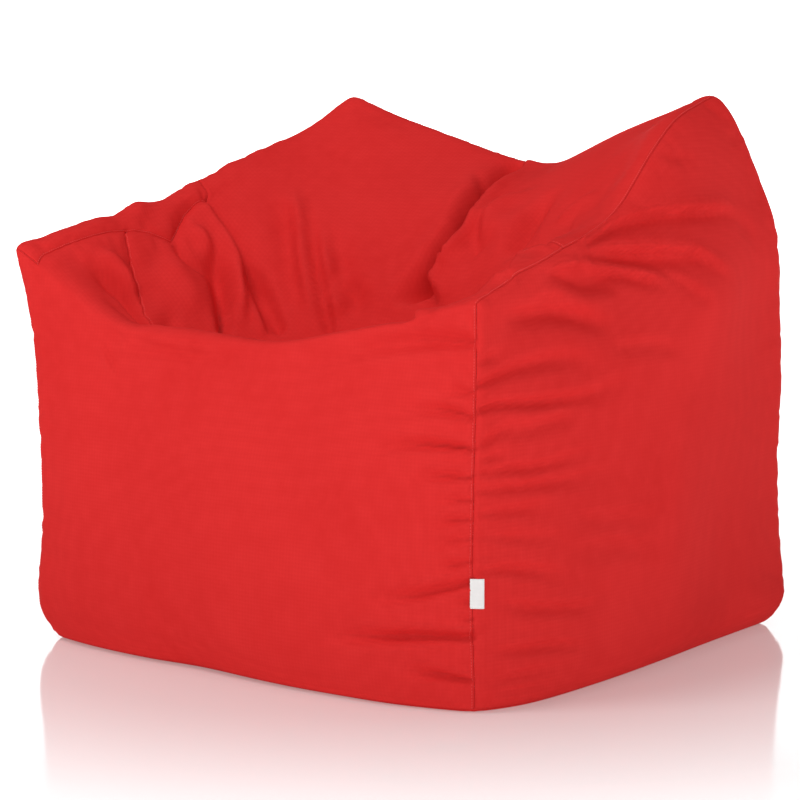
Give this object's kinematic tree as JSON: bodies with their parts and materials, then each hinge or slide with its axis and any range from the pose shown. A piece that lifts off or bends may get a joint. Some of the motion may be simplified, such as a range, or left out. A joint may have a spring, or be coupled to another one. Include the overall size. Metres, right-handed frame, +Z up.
{
  "type": "bean bag chair",
  "caption": "Square bean bag armchair: filled cloth cover pushed in to a seat, with low side arms and two raised rear corners; zip at the back.",
  "frame": {"origin": "on the floor under the middle of the bounding box", "axes": "+Z up, -Y out of the front of the chair, +X to the right of someone looking at the front (the sitter's left)"},
  "size_m": [0.954, 0.9266, 0.8398],
  "materials": {
    "cover_cloth": "fine plain weave, slight sheen",
    "liner_cloth": "matt",
    "beads": "matt",
    "zip_tape": "matt",
    "zip_coil": "satin",
    "zip_metal": "satin",
    "label_cloth": "satin weave",
    "closure_strip": "matt"
  },
  "bodies": {
    "root": {"front_panel": "cover_cloth", "seat_back_panel": "cover_cloth", "left_side_panel": "cover_cloth", "right_side_panel": "cover_cloth", "rear_panel_upper": "cover_cloth", "rear_panel_lower": "cover_cloth", "base_panel": "cover_cloth", "liner_front": "liner_cloth", "liner_top": "liner_cloth", "liner_left": "liner_cloth", "liner_right": "liner_cloth", "liner_rear_lower": "liner_cloth", "liner_rear_upper": "liner_cloth", "liner_base": "liner_cloth", "zip_tape_upper": "zip_tape", "zip_tape_lower": "zip_tape", "zip_coil_upper": "zip_coil", "zip_coil_lower": "zip_coil", "zip_stop_left": "zip_metal", "zip_stop_right": "zip_metal", "flag_label": "label_cloth", "care_label": "label_cloth", "closure_loop_tape": "closure_strip", "closure_hook_tape": "closure_strip", "bead_fill": "beads"},
    "slider": {"zip_slider": "zip_metal"},
    "pull": {"zip_pull": "zip_metal"}
  },
  "joints": [
    {"name": "zip_slide", "type": "slide", "parent": "root", "child": "slider", "axis": [-1, 0, 0], "range_m": [0, 0.428]},
    {"name": "zip_pull_hinge", "type": "hinge", "parent": "slider", "child": "pull", "pos_m": [0.21318, 0.44425, 0.095], "axis": [0, 0, -1], "range_deg": [0, 165]}
  ]
}
